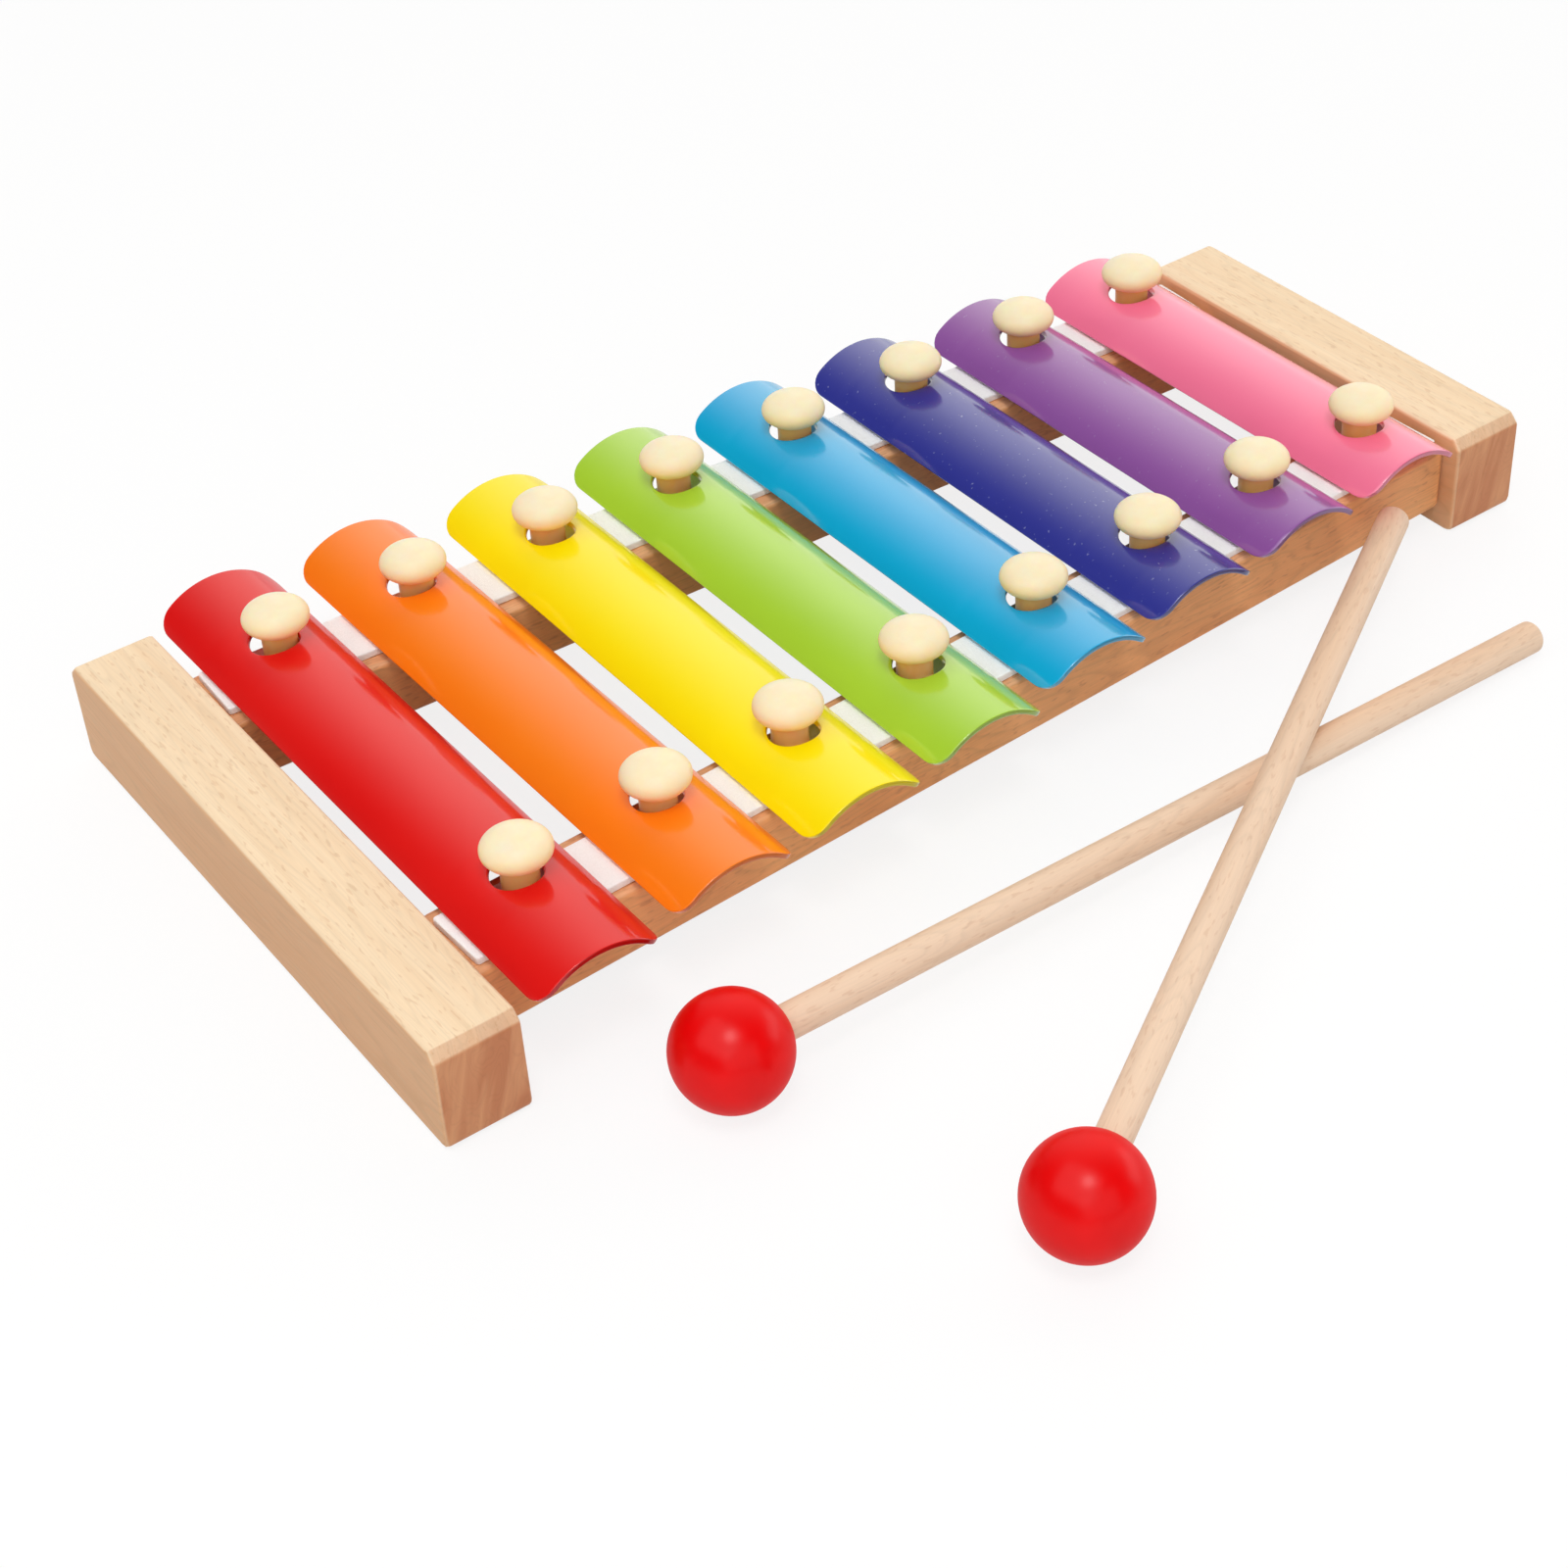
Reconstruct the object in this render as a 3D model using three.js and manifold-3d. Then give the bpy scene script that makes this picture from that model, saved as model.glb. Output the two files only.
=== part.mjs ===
// A toy xylophone: eight arched metal bars on two beech rails, and two mallets beside it.
//
// The two rails are dowelled between a wide and a narrow end block and draw together towards
// the narrow one. Each rail carries a felt strip, on which the bars lie loose. A mushroom
// headed pin goes through a wide hole near each end of a bar, so that the bar can ring, lift
// a little and shift, but can't come off. The mallets lie on the ground in front, with the
// stick of one across the stick of the other.
//
// Millimetres, +Z up. The origin is at the middle of the wide end block's underside, +X runs
// along the instrument to the narrow end block, and the mallets lie on the -Y side.

import * as THREE from 'three';
import { mergeVertices } from 'three/addons/utils/BufferGeometryUtils.js';
import Module from 'manifold-3d';

const wasm = await Module();
wasm.setup();

// End blocks
const blockThickness = 15.6;
const blockHeight = 20.5;
const wideBlockLength = 126.5;
const narrowBlockLength = 88;
const blockTopBevel = 2;
const blockFootRadius = 2;
const blockEasedEdge = 0.7;

// Rails: the insets run from a block's end to the rail's outer face
const railWidth = 18;
const railBelowBlockTop = 3;
const railAboveGround = 4.9;
const railInsetAtWideBlock = 13.85;
const railInsetAtNarrowBlock = 3.5;
const railEasedEdge = 0.8;
const railEndRadius = 1.6;
const glueLine = 0.05;

// Dowels that hold the rails to the blocks
const dowelDiameter = 6;
const dowelLength = 19;
const dowelChamfer = 0.6;
const dowelEndRoom = 0.5;
const pegClearance = 0.3;

// Felt strips on the rails
const padThickness = 1.6;
const padInnerMargin = 3.2;
const padOuterMargin = 1.8;
const padEndGap = 1;

// Bars: the overhangs run from a pin's centre to the bar's end
const barWidth = 23.3;
const barGap = 3.7;
const barToBlockGap = 3.25;
const barRise = 6.3;
const barSheet = 1;
const barCornerRadius = 3.4;
const longestOverhang = 24.2;
const shortestOverhang = 14.9;
const barSeatClearance = 0.2;
const barHolePlay = 1.4;

// Pins
const pinHeadDiameter = 12;
const pinHeadHeight = 4.9;
const pinShankDiameter = 6.4;
const pinSpigotDiameter = 5;
const pinTipChamfer = 0.8;
const pinLiftRoom = 2;
const woodUnderPin = 4.1;

// Mallets: the reach runs from the ball's centre to the stick's free end
const ballDiameter = 20;
const stickDiameter = 6;
const malletReach = 177.5;
const stickSocketDepth = 8;
const stickEndChamfer = 0.5;
const socketMouthRadius = 0.6;

// Where the mallets lie: the lower one's ball in front of the wide block, and the upper one's
// free end in front of the rail beside the narrow block
const lowerBallX = 33.8;
const lowerBallToBlockEnd = 7.65;
const lowerHeading = THREE.MathUtils.degToRad(0.7);
const upperEndToNarrowBlock = 18.2;
const upperEndToRail = 1.9;
const upperHeading = THREE.MathUtils.degToRad(31.1);
const crossingClearance = 0.3;

// One overrun for every cutting tool that leaves a face open
const cutOverrun = 1;

// The notes of a major scale, as shares of the octave above the longest bar
const noteShares = [0, 2, 4, 5, 7, 9, 11, 12].map((semitones) => semitones / 12);

// Where each loose bar lies along its length, as shares of its play towards the back
const lieShares = [-0.13, 0.26, -0.8, -0.75, 0.36, 0.64, 0.13, 0.06];

// How far its front and rear holes lie to the side of their pins, as shares of that play
const frontSwayShares = [-0.5, 0, 0, 0, 0, 0, 0, 0];
const rearSwayShares = [-0.8, -0.55, 0, 0, 0, 0, 0, 0];

// The radius at a block's bevelled corners, as a share of its eased edge
const bevelRadiusShare = 1.4;

// Shares of the pin head's height that lie above its rim, and of its radius at the rounded foot
const headCrownShare = 0.61;
const headFootShare = 0.62;

// Facets
const archSegments = 14;
const holeSegments = 20;
const pegHoleSegments = 12;
const pinSegments = 16;
const headFootSegments = 2;
const headCrownSegments = 4;
const ballSegments = 24;
const stickSegments = 18;
const dowelSegments = 12;
const cornerSegments = 3;
const easeSegments = 2;

// How often the arch's half angle is worked out again, which settles it far below a micron
const archPasses = 24;

const barColours = [
  ['red', 0xdb1f1c],
  ['orange', 0xfb7a1e],
  ['yellow', 0xfbe000],
  ['green', 0x9fcf38],
  ['blue', 0x0aa0d8],
  ['navy', 0x333489],
  ['purple', 0x874c9c],
  ['pink', 0xf2769a],
];

// What follows from the driving dimensions
const barPitch = barWidth + barGap;
const firstBarX = blockThickness / 2 + barToBlockGap + barWidth / 2;
const lastBarX = firstBarX + (barColours.length - 1) * barPitch;
const railStartX = blockThickness / 2;
const railEndX = lastBarX + barWidth / 2 + barToBlockGap;
const narrowBlockX = railEndX + blockThickness / 2;
const railTop = blockHeight - railBelowBlockTop;
const railBottom = railAboveGround;
const railMiddle = (railTop + railBottom) / 2;
const railOffsetAtWideBlock = (wideBlockLength - railWidth) / 2 - railInsetAtWideBlock;
const railOffsetAtNarrowBlock = (narrowBlockLength - railWidth) / 2 - railInsetAtNarrowBlock;
const padTop = railTop + padThickness;
const barFoot = padTop + barSeatClearance;
const barCrest = barFoot + barRise;
const headFoot = barCrest + pinLiftRoom;
const barHoleRadius = pinShankDiameter / 2 + barHolePlay;
const pinTip = railBottom + woodUnderPin;

const beech = new THREE.MeshStandardMaterial({ color: 0xe9c398, roughness: 0.62, metalness: 0 });
const dowelBeech = new THREE.MeshStandardMaterial({ color: 0xdcb488, roughness: 0.7, metalness: 0 });
const stickBeech = new THREE.MeshStandardMaterial({ color: 0xe6bd95, roughness: 0.6, metalness: 0 });
const whiteFelt = new THREE.MeshStandardMaterial({ color: 0xf4f2ee, roughness: 0.95, metalness: 0 });
const ivoryPlastic = new THREE.MeshStandardMaterial({ color: 0xfaedc8, roughness: 0.35, metalness: 0 });
const redLacquer = new THREE.MeshStandardMaterial({ color: 0xd80c0c, roughness: 0.18, metalness: 0 });

// A closed three.js geometry as a solid that can be cut and joined
function toSolid(geometry) {
  const bare = geometry.clone();
  bare.deleteAttribute('normal');
  bare.deleteAttribute('uv');
  const merged = mergeVertices(bare);
  return new wasm.Manifold(new wasm.Mesh({
    numProp: 3,
    vertProperties: new Float32Array(merged.attributes.position.array),
    triVerts: new Uint32Array(merged.index.array),
  }));
}

function toGeometry(solid) {
  const mesh = solid.getMesh();
  const geometry = new THREE.BufferGeometry();
  geometry.setAttribute('position', new THREE.BufferAttribute(mesh.vertProperties, 3));
  geometry.setIndex(new THREE.BufferAttribute(mesh.triVerts, 1));
  geometry.computeVertexNormals();
  return geometry;
}

function cut(geometry, tools) {
  const solid = tools.reduce((rest, tool) => rest.subtract(toSolid(tool)), toSolid(geometry));
  return toGeometry(solid);
}

// A polygon whose corners are rounded, each with its own radius
function roundedShape(corners, radii) {
  const shape = new THREE.Shape();
  corners.forEach((corner, i) => {
    const before = corners[(i + corners.length - 1) % corners.length];
    const after = corners[(i + 1) % corners.length];
    const towardsBefore = before.clone().sub(corner).normalize();
    const towardsAfter = after.clone().sub(corner).normalize();
    const halfAngle = towardsBefore.angleTo(towardsAfter) / 2;
    const run = radii[i] / Math.tan(halfAngle);
    const start = corner.clone().addScaledVector(towardsBefore, run);
    const end = corner.clone().addScaledVector(towardsAfter, run);
    const middle = towardsBefore.clone().add(towardsAfter).normalize();
    const centre = corner.clone().addScaledVector(middle, radii[i] / Math.sin(halfAngle));
    if (i === 0) {
      shape.moveTo(start.x, start.y);
    } else {
      shape.lineTo(start.x, start.y);
    }
    const from = start.clone().sub(centre).angle();
    const sweep = Math.PI - 2 * halfAngle;
    for (let step = 1; step < cornerSegments; step += 1) {
      const angle = from + sweep * (step / cornerSegments);
      shape.lineTo(centre.x + radii[i] * Math.cos(angle), centre.y + radii[i] * Math.sin(angle));
    }
    shape.lineTo(end.x, end.y);
  });
  shape.closePath();
  return shape;
}

// A slab of the given shape and thickness, from zero up, with its top and bottom edges eased
function easedSlab(shape, thickness, ease) {
  const slab = new THREE.ExtrudeGeometry(shape, {
    depth: thickness - 2 * ease,
    bevelEnabled: true,
    bevelThickness: ease,
    bevelSize: ease,
    bevelOffset: -ease,
    bevelSegments: easeSegments,
  });
  return slab.translate(0, 0, ease);
}

// A round bar about +X, from one length to the other, with both ends chamfered
function chamferedRod(radius, from, to, chamfer, segments) {
  const profile = [
    new THREE.Vector2(0, from),
    new THREE.Vector2(radius - chamfer, from),
    new THREE.Vector2(radius, from + chamfer),
    new THREE.Vector2(radius, to - chamfer),
    new THREE.Vector2(radius - chamfer, to),
    new THREE.Vector2(0, to),
  ];
  return new THREE.LatheGeometry(profile, segments).rotateZ(-Math.PI / 2);
}

function named(name, geometry, material) {
  const mesh = new THREE.Mesh(geometry, material);
  mesh.name = name;
  return mesh;
}

// Distance of a rail's centre line from the middle, at a place along the instrument
function railOffset(x) {
  const share = (x - railStartX) / (railEndX - railStartX);
  return THREE.MathUtils.lerp(railOffsetAtWideBlock, railOffsetAtNarrowBlock, share);
}

const railSlope = Math.atan2(railOffsetAtWideBlock - railOffsetAtNarrowBlock, railEndX - railStartX);

// Both rails, both strips and both rows of pins lie at the same distance on either side
const sides = [
  { name: 'front', sign: -1 },
  { name: 'rear', sign: 1 },
];

const barPlaces = barColours.map(([name, colour], i) => ({
  name,
  colour,
  number: i + 1,
  x: firstBarX + i * barPitch,
  overhang: THREE.MathUtils.lerp(longestOverhang, shortestOverhang, noteShares[i]),
  lie: barHolePlay * lieShares[i],
  frontSway: barHolePlay * frontSwayShares[i],
  rearSway: barHolePlay * rearSwayShares[i],
}));

// The dowel hole that a block and a rail share, half in each
function dowelHole(faceX, side) {
  const radius = dowelDiameter / 2 + pegClearance;
  const length = dowelLength + 2 * dowelEndRoom;
  const hole = new THREE.CylinderGeometry(radius, radius, length, pegHoleSegments);
  hole.rotateZ(Math.PI / 2);
  return hole.translate(faceX, side.sign * railOffset(faceX), railMiddle);
}

// An end block: bevelled at the top of both ends, rounded at the feet, eased along its edges
function endBlock(length, centreX, railFaceX) {
  const halfLength = length / 2;
  const corners = [
    new THREE.Vector2(-halfLength, 0),
    new THREE.Vector2(halfLength, 0),
    new THREE.Vector2(halfLength, blockHeight - blockTopBevel),
    new THREE.Vector2(halfLength - blockTopBevel, blockHeight),
    new THREE.Vector2(-halfLength + blockTopBevel, blockHeight),
    new THREE.Vector2(-halfLength, blockHeight - blockTopBevel),
  ];
  const bevelRadius = blockEasedEdge * bevelRadiusShare;
  const radii = [blockFootRadius, blockFootRadius, bevelRadius, bevelRadius, bevelRadius, bevelRadius];
  const slab = easedSlab(roundedShape(corners, radii), blockThickness, blockEasedEdge);
  // The outline was drawn across the instrument and up, so the slab is turned to run along +X
  slab.rotateX(Math.PI / 2).rotateZ(Math.PI / 2);
  slab.translate(centreX - blockThickness / 2, 0, 0);
  return cut(slab, sides.map((side) => dowelHole(railFaceX, side)));
}

// A strip of plan between the blocks that follows a rail, between two distances from its middle
function alongRail(side, inner, outer, startX, endX) {
  const corner = (x, across) => {
    return new THREE.Vector2(x, side.sign * (railOffset(x) + across / Math.cos(railSlope)));
  };
  const corners = [corner(startX, inner), corner(endX, inner), corner(endX, outer), corner(startX, outer)];
  return side.sign < 0 ? corners.reverse() : corners;
}

function pinHole(bar, side, radius, bottom, top, segments) {
  const hole = new THREE.CylinderGeometry(radius, radius, top - bottom, segments);
  hole.rotateX(Math.PI / 2);
  return hole.translate(bar.x, side.sign * railOffset(bar.x), (top + bottom) / 2);
}

function rail(side) {
  const halfWidth = railWidth / 2;
  const corners = alongRail(side, -halfWidth, halfWidth, railStartX + glueLine, railEndX - glueLine);
  const shape = roundedShape(corners, corners.map(() => railEndRadius));
  const slab = easedSlab(shape, railTop - railBottom, railEasedEdge).translate(0, 0, railBottom);
  const radius = pinSpigotDiameter / 2 + pegClearance;
  const tools = barPlaces.map((bar) => {
    return pinHole(bar, side, radius, pinTip - pegClearance, railTop + cutOverrun, pegHoleSegments);
  });
  tools.push(dowelHole(railStartX, side), dowelHole(railEndX, side));
  return cut(slab, tools);
}

function padStrip(side) {
  const inner = padInnerMargin - railWidth / 2;
  const outer = railWidth / 2 - padOuterMargin;
  const corners = alongRail(side, inner, outer, railStartX + padEndGap, railEndX - padEndGap);
  const strip = new THREE.ExtrudeGeometry(new THREE.Shape(corners), {
    depth: padThickness - glueLine,
    bevelEnabled: false,
  });
  strip.translate(0, 0, railTop + glueLine);
  const radius = pinShankDiameter / 2 + pegClearance;
  const tools = barPlaces.map((bar) => {
    return pinHole(bar, side, radius, railTop - cutOverrun, padTop + cutOverrun, pegHoleSegments);
  });
  return cut(strip, tools);
}

// The arched section of a bar, seen along its length, with its lowest points at zero height
function archSection() {
  const innerRise = barRise - barSheet;
  const halfWidth = barWidth / 2;
  // The sheet's ends are cut square to it, so that its inner corners are its lowest points.
  // Its outer radius follows from the width at the outer corners and the rise at the inner ones.
  let halfAngle = Math.PI / 4;
  let outerRadius = halfWidth / Math.sin(halfAngle);
  for (let pass = 0; pass < archPasses; pass += 1) {
    outerRadius = halfWidth / Math.sin(halfAngle);
    const innerRadius = outerRadius - barSheet;
    halfAngle = Math.acos(1 - innerRise / innerRadius);
  }
  outerRadius = halfWidth / Math.sin(halfAngle);
  const centreHeight = barRise - outerRadius;
  const shape = new THREE.Shape();
  const arc = (radius, from, to) => {
    for (let step = 0; step <= archSegments; step += 1) {
      const angle = from + (to - from) * (step / archSegments);
      const x = radius * Math.sin(angle);
      const z = centreHeight + radius * Math.cos(angle);
      if (step === 0 && radius === outerRadius) {
        shape.moveTo(x, z);
      } else {
        shape.lineTo(x, z);
      }
    }
  };
  arc(outerRadius, halfAngle, -halfAngle);
  arc(outerRadius - barSheet, -halfAngle, halfAngle);
  shape.closePath();
  return shape;
}

// A bar: sheet bent to an arch, with rounded corners in plan and a hole over each rail
function soundBar(bar) {
  const halfWidth = barWidth / 2;
  const halfLength = railOffset(bar.x) + bar.overhang;
  const arch = new THREE.ExtrudeGeometry(archSection(), { depth: 2 * halfLength, bevelEnabled: false });
  arch.rotateX(Math.PI / 2).translate(bar.x, halfLength, barFoot);
  const corners = [
    new THREE.Vector2(-halfWidth, -halfLength),
    new THREE.Vector2(halfWidth, -halfLength),
    new THREE.Vector2(halfWidth, halfLength),
    new THREE.Vector2(-halfWidth, halfLength),
  ];
  const plan = new THREE.ExtrudeGeometry(roundedShape(corners, corners.map(() => barCornerRadius)), {
    depth: barRise + 2 * cutOverrun,
    bevelEnabled: false,
  });
  plan.translate(bar.x, 0, barFoot - cutOverrun);
  let solid = toSolid(arch).intersect(toSolid(plan));
  const holeBottom = barFoot - cutOverrun;
  const holeTop = barCrest + cutOverrun;
  for (const side of sides) {
    const hole = pinHole(bar, side, barHoleRadius, holeBottom, holeTop, holeSegments);
    solid = solid.subtract(toSolid(hole));
  }
  // The loose bar turns and shifts a little round its pins
  const turn = Math.asin((bar.frontSway - bar.rearSway) / (2 * railOffset(bar.x)));
  const sway = (bar.frontSway + bar.rearSway) / 2;
  return toGeometry(solid).translate(-bar.x, 0, 0).rotateZ(turn).translate(bar.x + sway, bar.lie, 0);
}

// A pin: a spigot in the rail, a shank through the strip and the bar, and a domed head
function pin(bar, side) {
  const headRadius = pinHeadDiameter / 2;
  const shankRadius = pinShankDiameter / 2;
  const spigotRadius = pinSpigotDiameter / 2;
  const shoulder = railTop + pegClearance;
  const crownHeight = pinHeadHeight * headCrownShare;
  const rim = headFoot + pinHeadHeight - crownHeight;
  const profile = [
    new THREE.Vector2(0, pinTip),
    new THREE.Vector2(spigotRadius - pinTipChamfer, pinTip),
    new THREE.Vector2(spigotRadius, pinTip + pinTipChamfer),
    new THREE.Vector2(spigotRadius, shoulder),
    new THREE.Vector2(shankRadius, shoulder),
    new THREE.Vector2(shankRadius, headFoot),
    new THREE.Vector2(headRadius * headFootShare, headFoot),
  ];
  for (let step = 1; step <= headFootSegments; step += 1) {
    const angle = (Math.PI / 2) * (step / headFootSegments);
    const radius = THREE.MathUtils.lerp(headRadius * headFootShare, headRadius, Math.sin(angle));
    profile.push(new THREE.Vector2(radius, rim - (rim - headFoot) * Math.cos(angle)));
  }
  for (let step = 1; step <= headCrownSegments; step += 1) {
    const angle = (Math.PI / 2) * (step / headCrownSegments);
    profile.push(new THREE.Vector2(headRadius * Math.cos(angle), rim + crownHeight * Math.sin(angle)));
  }
  profile[profile.length - 1].x = 0;
  const geometry = new THREE.LatheGeometry(profile, pinSegments).rotateX(Math.PI / 2);
  return geometry.translate(bar.x, side.sign * railOffset(bar.x), 0);
}

function dowel(faceX, side) {
  const half = dowelLength / 2;
  const rod = chamferedRod(dowelDiameter / 2, -half, half, dowelChamfer, dowelSegments);
  return rod.translate(faceX, side.sign * railOffset(faceX), railMiddle);
}

// A mallet's ball about the origin, with the stick's socket towards +X
function malletBall() {
  const radius = ballDiameter / 2;
  const socketRadius = stickDiameter / 2 + pegClearance;
  const socketBottom = radius - stickSocketDepth;
  const mouth = Math.sqrt(radius ** 2 - (socketRadius + socketMouthRadius) ** 2);
  const profile = [
    new THREE.Vector2(0, socketBottom),
    new THREE.Vector2(socketRadius, socketBottom),
    new THREE.Vector2(socketRadius, mouth - socketMouthRadius),
  ];
  const steps = ballSegments / 2;
  const mouthAngle = Math.acos(mouth / radius);
  for (let step = 0; step <= steps; step += 1) {
    const angle = mouthAngle + (Math.PI - mouthAngle) * (step / steps);
    profile.push(new THREE.Vector2(radius * Math.sin(angle), radius * Math.cos(angle)));
  }
  profile[profile.length - 1].x = 0;
  // The profile runs from the top down, so it is reversed to keep the faces pointing out
  return new THREE.LatheGeometry(profile.reverse(), ballSegments).rotateZ(-Math.PI / 2);
}

function malletStick() {
  const start = ballDiameter / 2 - stickSocketDepth + pegClearance;
  return chamferedRod(stickDiameter / 2, start, malletReach, stickEndChamfer, stickSegments);
}

function lowerBallPlace() {
  return new THREE.Vector2(lowerBallX, -(wideBlockLength + ballDiameter) / 2 - lowerBallToBlockEnd);
}

// The upper mallet is placed by its free end, whose nearest corner stays just off the rail
function upperBallPlace() {
  const endX = railEndX - upperEndToNarrowBlock;
  const railFace = railOffset(endX) + railWidth / 2 / Math.cos(railSlope);
  const endCorner = (stickDiameter / 2) * Math.cos(upperHeading);
  const end = new THREE.Vector2(endX, -(railFace + upperEndToRail + endCorner));
  return end.addScaledVector(headingWay(upperHeading), -malletReach);
}

function headingWay(heading) {
  return new THREE.Vector2(Math.cos(heading), Math.sin(heading));
}

// How far each stick dips towards its free end. The lower one rests on the ground there, and
// the upper one rests on the lower stick where the two cross.
function malletPitches() {
  const ballRadius = ballDiameter / 2;
  const lower = Math.asin((ballRadius - stickDiameter / 2) / malletReach);
  const between = upperBallPlace().sub(lowerBallPlace());
  const turn = headingWay(lowerHeading).cross(headingWay(upperHeading));
  const alongLower = between.cross(headingWay(upperHeading)) / turn;
  const alongUpper = between.cross(headingWay(lowerHeading)) / turn;
  const lowerHeight = ballRadius - alongLower * Math.tan(lower);
  const apart = (stickDiameter + crossingClearance) / Math.cos(lower);
  const upper = -Math.atan2(lowerHeight + apart - ballRadius, alongUpper);
  return { lower, upper };
}

function mallet(name, ballPlace, heading, pitch) {
  const group = new THREE.Group();
  group.position.set(ballPlace.x, ballPlace.y, ballDiameter / 2);
  group.rotation.set(0, pitch, heading, 'ZYX');
  group.add(named(`${name}_ball`, malletBall(), redLacquer));
  group.add(named(`${name}_stick`, malletStick(), stickBeech));
  return group;
}

const xylophone = new THREE.Group();

xylophone.add(named('wide_end_block', endBlock(wideBlockLength, 0, railStartX), beech));
xylophone.add(named('narrow_end_block', endBlock(narrowBlockLength, narrowBlockX, railEndX), beech));

for (const side of sides) {
  xylophone.add(named(`${side.name}_rail`, rail(side), beech));
  xylophone.add(named(`${side.name}_pad_strip`, padStrip(side), whiteFelt));
  xylophone.add(named(`${side.name}_wide_dowel`, dowel(railStartX, side), dowelBeech));
  xylophone.add(named(`${side.name}_narrow_dowel`, dowel(railEndX, side), dowelBeech));
}

for (const bar of barPlaces) {
  const enamel = new THREE.MeshStandardMaterial({ color: bar.colour, roughness: 0.22, metalness: 0.1 });
  xylophone.add(named(`bar_${bar.number}_${bar.name}`, soundBar(bar), enamel));
  for (const side of sides) {
    xylophone.add(named(`${side.name}_pin_${bar.number}`, pin(bar, side), ivoryPlastic));
  }
}

const pitches = malletPitches();
xylophone.add(mallet('lower_mallet', lowerBallPlace(), lowerHeading, pitches.lower));
xylophone.add(mallet('upper_mallet', upperBallPlace(), upperHeading, pitches.upper));

export default xylophone;
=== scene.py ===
"""A toy xylophone: arched enamelled bars on beech rails, with two mallets beside it."""
import math

import bpy
from mathutils import Matrix, Vector, noise

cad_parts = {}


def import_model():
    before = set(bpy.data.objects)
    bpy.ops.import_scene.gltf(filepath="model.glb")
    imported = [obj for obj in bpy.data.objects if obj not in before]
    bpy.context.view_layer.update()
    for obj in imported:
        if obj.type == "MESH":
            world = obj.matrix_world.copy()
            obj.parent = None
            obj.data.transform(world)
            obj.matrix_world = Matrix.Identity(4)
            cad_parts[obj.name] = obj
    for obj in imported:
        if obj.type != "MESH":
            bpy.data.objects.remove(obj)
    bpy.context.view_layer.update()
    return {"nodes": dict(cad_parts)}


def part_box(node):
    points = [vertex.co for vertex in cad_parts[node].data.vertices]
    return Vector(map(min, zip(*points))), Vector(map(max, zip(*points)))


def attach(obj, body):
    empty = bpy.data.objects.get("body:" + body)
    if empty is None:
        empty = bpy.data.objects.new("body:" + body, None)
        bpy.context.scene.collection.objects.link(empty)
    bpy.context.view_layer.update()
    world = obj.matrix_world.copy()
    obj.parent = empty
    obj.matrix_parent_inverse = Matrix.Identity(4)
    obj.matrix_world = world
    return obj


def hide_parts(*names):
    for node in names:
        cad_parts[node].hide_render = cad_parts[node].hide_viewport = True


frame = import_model()
scene = bpy.context.scene

MM = 0.001
QUARTER = math.pi / 2
ALONG_X = (1, 0, 0)
ALONG_Y = (0, 1, 0)
ALONG_Z = (0, 0, 1)
NOWHERE = (0, 0, 0)
# The two sides of the instrument and the way to each along Y
SIDES = {"front": -1, "rear": 1}
BARS = ("1_red", "2_orange", "3_yellow", "4_green", "5_blue", "6_navy", "7_purple", "8_pink")

# Sizes of the bars that the boxes of the CAD nodes don't give
SHEET = 1.0 * MM
SHEET_EASE = 0.2 * MM
BAR_CORNER = 4.0 * MM
BAR_HOLE = 4.6 * MM
# How far the front and the rear hole of a turned bar lie to the side of their pins
SWAYS = {"1_red": (-0.7 * MM, -1.12 * MM), "2_orange": (0.0, -0.77 * MM)}
# How the punched and bent sheet isn't quite true: its depth, how far it is sunk so that the
# sheet stays in the CAD's box, its waves per metre across and along, and the step between bars
UNEVENNESS = 0.05 * MM
UNEVEN_SINK = 0.6
UNEVEN_WAVES = (40, 22)
UNEVEN_STEP = 7.3

# Sizes of the pins
PIN_SHANK = 3.2 * MM
PIN_SPIGOT = 2.5 * MM
PIN_TIP_EASE = 0.8 * MM
PIN_FILLET = 0.5 * MM
PIN_SHOULDER_ABOVE_RAIL = 0.3 * MM
PIN_HEAD_HEIGHT = 4.9 * MM
HEAD_CROWN_SHARE = 0.61
HEAD_FOOT_SHARE = 0.62
# Painted shade on the pins: the plastic is painted most amber, as warm shade under the head,
# from this far below the head down, and plain from this share of the head's height below its top up
SHADE_BELOW_HEAD = 0.4 * MM
PLAIN_HEAD_SHARE = 0.15

# Sizes of the felt strips, whose sides lie this far inwards and outwards of their pins
STRIP_INNER = -5.8 * MM
STRIP_OUTER = 7.2 * MM
STRIP_HOLE = 3.5 * MM
STRIP_CORNER = 0.6 * MM
STRIP_EASE = 0.3 * MM
# Each end is this much shorter than the CAD box, because the strip lies aslant in it
STRIP_SHORTER = 0.3 * MM
# How far the felt's top goes up and down, and its waves per metre
FELT_ROUGHNESS = 0.05 * MM
FELT_WAVES = 260

# Sizes of the mallets. The ball is a little smaller than the CAD's, to stay in its box
BALL_RADIUS = 9.95 * MM
SOCKET_RADIUS = 3.3 * MM
SOCKET_DEPTH = 8.0 * MM
SOCKET_MOUTH = 0.6 * MM
STICK_RADIUS = 3.0 * MM
STICK_END_EASE = 0.7 * MM
# The gap between the stick and the socket's bottom
STICK_GAP = 0.3 * MM
# Points of the CAD stick this near to its farthest one belong to its end
STICK_END_REACH = 0.01 * MM

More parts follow.
